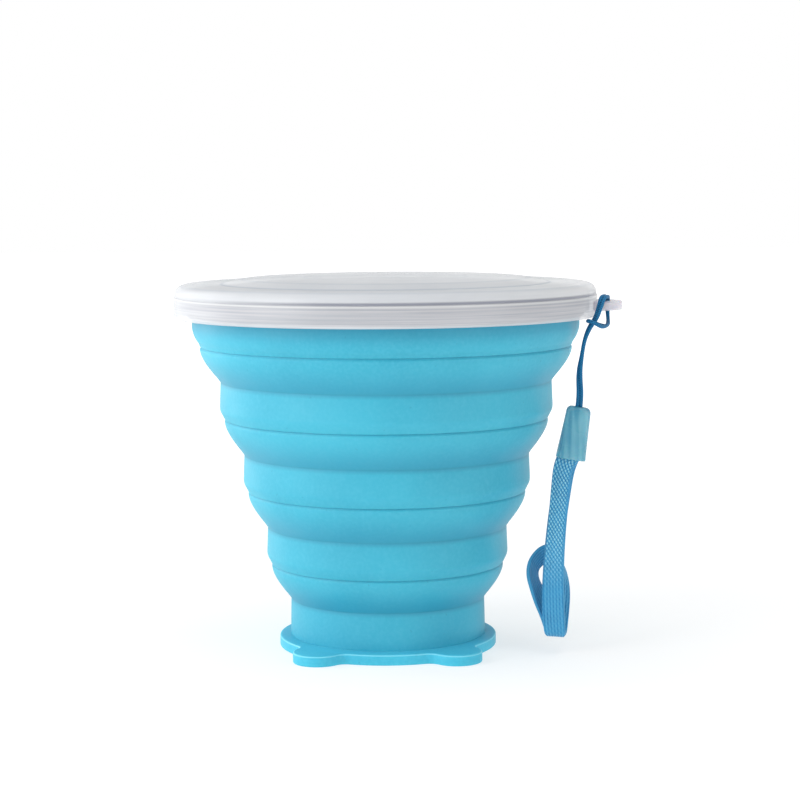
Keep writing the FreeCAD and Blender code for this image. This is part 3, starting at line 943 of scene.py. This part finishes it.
def strap():
    """Flat tape from the crimp down the front, round the bottom fold, up the back to a small open loop
    that turns aside, and all the way back."""
    hinge = along_sleeve(0, 0, -1.6)
    lean = Vector((-2.9, 0, -38.1)).normalized()
    right = lean.cross(Y_DIR)
    # each place's distance to the right of the line down from the hinge, behind it and along it, then the
    # degrees by which the tape's width turns towards the back, and how far it leans down
    runs = [
        (-1.5, -0.88, 0, -36, 0), (-1.65, -1.18, 6, -38, 0), (-1.9, -2.5, 15, -42, 0),
        (-1.9, -2.69, 24, -24, 0), (-1.0, -2.64, 34.3, -4, 0), (-0.3, -2.1, 37.9, 0, 0),
        (0.2, 2.1, 37.9, 0, 0), (0.4, 2.64, 34.0, 5, 0), (0.6, 3.2, 29, 22, 0), (0.5, 4.0, 24.4, 58, 0.5),
        (-1.2, 4.2, 20.4, 60, 1.3), (-3.8, 4.2, 20.4, 52, 1.3), (-6.7, 3.6, 24.4, 57, 0.4),
        (-4.2, 1.8, 30.0, 48, 0), (-1.5, 0.88, 33.6, 8, 0), (-0.6, 0.62, 35.9, 0, 0),
        (-0.6, -0.62, 35.9, 0, 0), (-1.2, -0.88, 34.0, -6, 0), (-1.8, -0.93, 25, -22, 0),
        (-2.0, -0.88, 15, -40, 0), (-1.3, 0.58, 6, -36, 0), (-0.8, 0.88, 0, -30, 0)]
    ends = [along_sleeve(0, v, w) for v, w in ((0.62, 4.9), (0.8, 1.6))]
    points = [p - Y_DIR * 2 * (p.y - HANG_Y) for p in ends]
    points += [hinge + right * x + Y_DIR * v + lean * s for x, v, s, _, _ in runs]
    points += ends[::-1]
    straight = [(0, 0, 0)] * len(ends)
    leans = straight + [(turn, drop, 0) for _, _, _, turn, drop in runs] + straight
    line = spline_line("strap_route", points, 12)
    turned, dropped, _ = spline_line("strap_turns", leans, 12).T / MM
    piece = tape("wrist_strap", line, right, lean, turned, dropped)
    finish_piece(piece, weave_look())
    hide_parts("strap", "strap_sewn_end")
    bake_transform(piece)
    return piece, line


def lanyard():
    cord_piece, cord_line = cord()
    sleeve_piece = sleeve()
    strap_piece, strap_line = strap()
    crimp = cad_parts["crimp"]
    look = steel_look("crimp_metal", (190, 190, 192), (2200, 300, 300))
    for slot in crimp.material_slots:
        slot.material = look


# ---------- studio

def softbox(name, place, aim_z, size, power):
    """A flat light aimed at the cup's axis at height aim_z."""
    light = bpy.data.lights.new(name, "AREA")
    light.shape = "RECTANGLE"
    light.size, light.size_y = size
    light.energy = power
    lamp = bpy.data.objects.new(name, light)
    lamp.location = place
    lamp.rotation_euler = (Vector((0, 0, aim_z)) - Vector(place)).to_track_quat("-Z", "Y").to_euler()
    bpy.context.scene.collection.objects.link(lamp)
    return lamp


def studio():
    verts = [(x, y, 0) for x, y in ((-3, -3), (3, -3), (3, 3), (-3, 3))]
    floor = add_mesh("studio_floor", verts, [[0, 1, 2, 3]])
    look = Look("studio_paper", Roughness=0.9, Specular_IOR_Level=0.1, Base_Color=(0.45, 0.45, 0.45, 1),
                Emission_Color=(1, 1, 1, 1))
    # Painted light: the paper glows, from 0.6 near the cup to 0.98 far off, so it reads white, its shadow
    # stays faint and it lights the cup from below
    glow = look.ranged(look.away(), 0.1, 0.7, 0.6, 0.98)
    floor.data.materials.append(look.surface(Emission_Strength=glow))

    # a soft white room: pure white to look at, and dimmer as a light
    scene = bpy.context.scene
    world = bpy.data.worlds.new("studio")
    scene.world = world
    world.use_nodes = True
    tree = world.node_tree
    backdrop = tree.nodes["Background"]
    backdrop.inputs["Color"].default_value = (1, 1, 1, 1)
    seen = tree.nodes.new("ShaderNodeLightPath")
    strength = tree.nodes.new("ShaderNodeMapRange")
    strength.inputs["To Min"].default_value = ROOM_LIGHT
    tree.links.new(seen.outputs["Is Camera Ray"], strength.inputs["Value"])
    tree.links.new(strength.outputs[0], backdrop.inputs["Strength"])
    scene.view_settings.view_transform = "Standard"

    softbox("key_left", (-0.62, -0.36, 0.30), 0.045, (0.5, 0.6), 3.05)
    softbox("edge_left", (-0.50, 0.26, 0.12), 0.045, (0.45, 0.6), 1.8)
    softbox("top", (0.0, -0.05, 0.75), 0.05, (0.8, 0.8), 2.4)
    softbox("fill_right", (0.6, -0.5, 0.25), 0.05, (0.4, 0.6), 1.2)
    card = softbox("card_back", (0.5, 1.1, 0.22), 0.08, (2.0, 0.5), 1.8)
    card.visible_diffuse = False
    card.visible_camera = False

    camera = bpy.data.cameras.new("camera")
    camera.sensor_width = 36
    camera.lens = LENS
    eye = bpy.data.objects.new("camera", camera)
    eye.location = CAMERA_AT
    eye.rotation_euler = [math.radians(turn) for turn in CAMERA_TURN]
    scene.collection.objects.link(eye)
    scene.camera = eye


cup()
steel_rim()
lid()
lanyard()
studio()
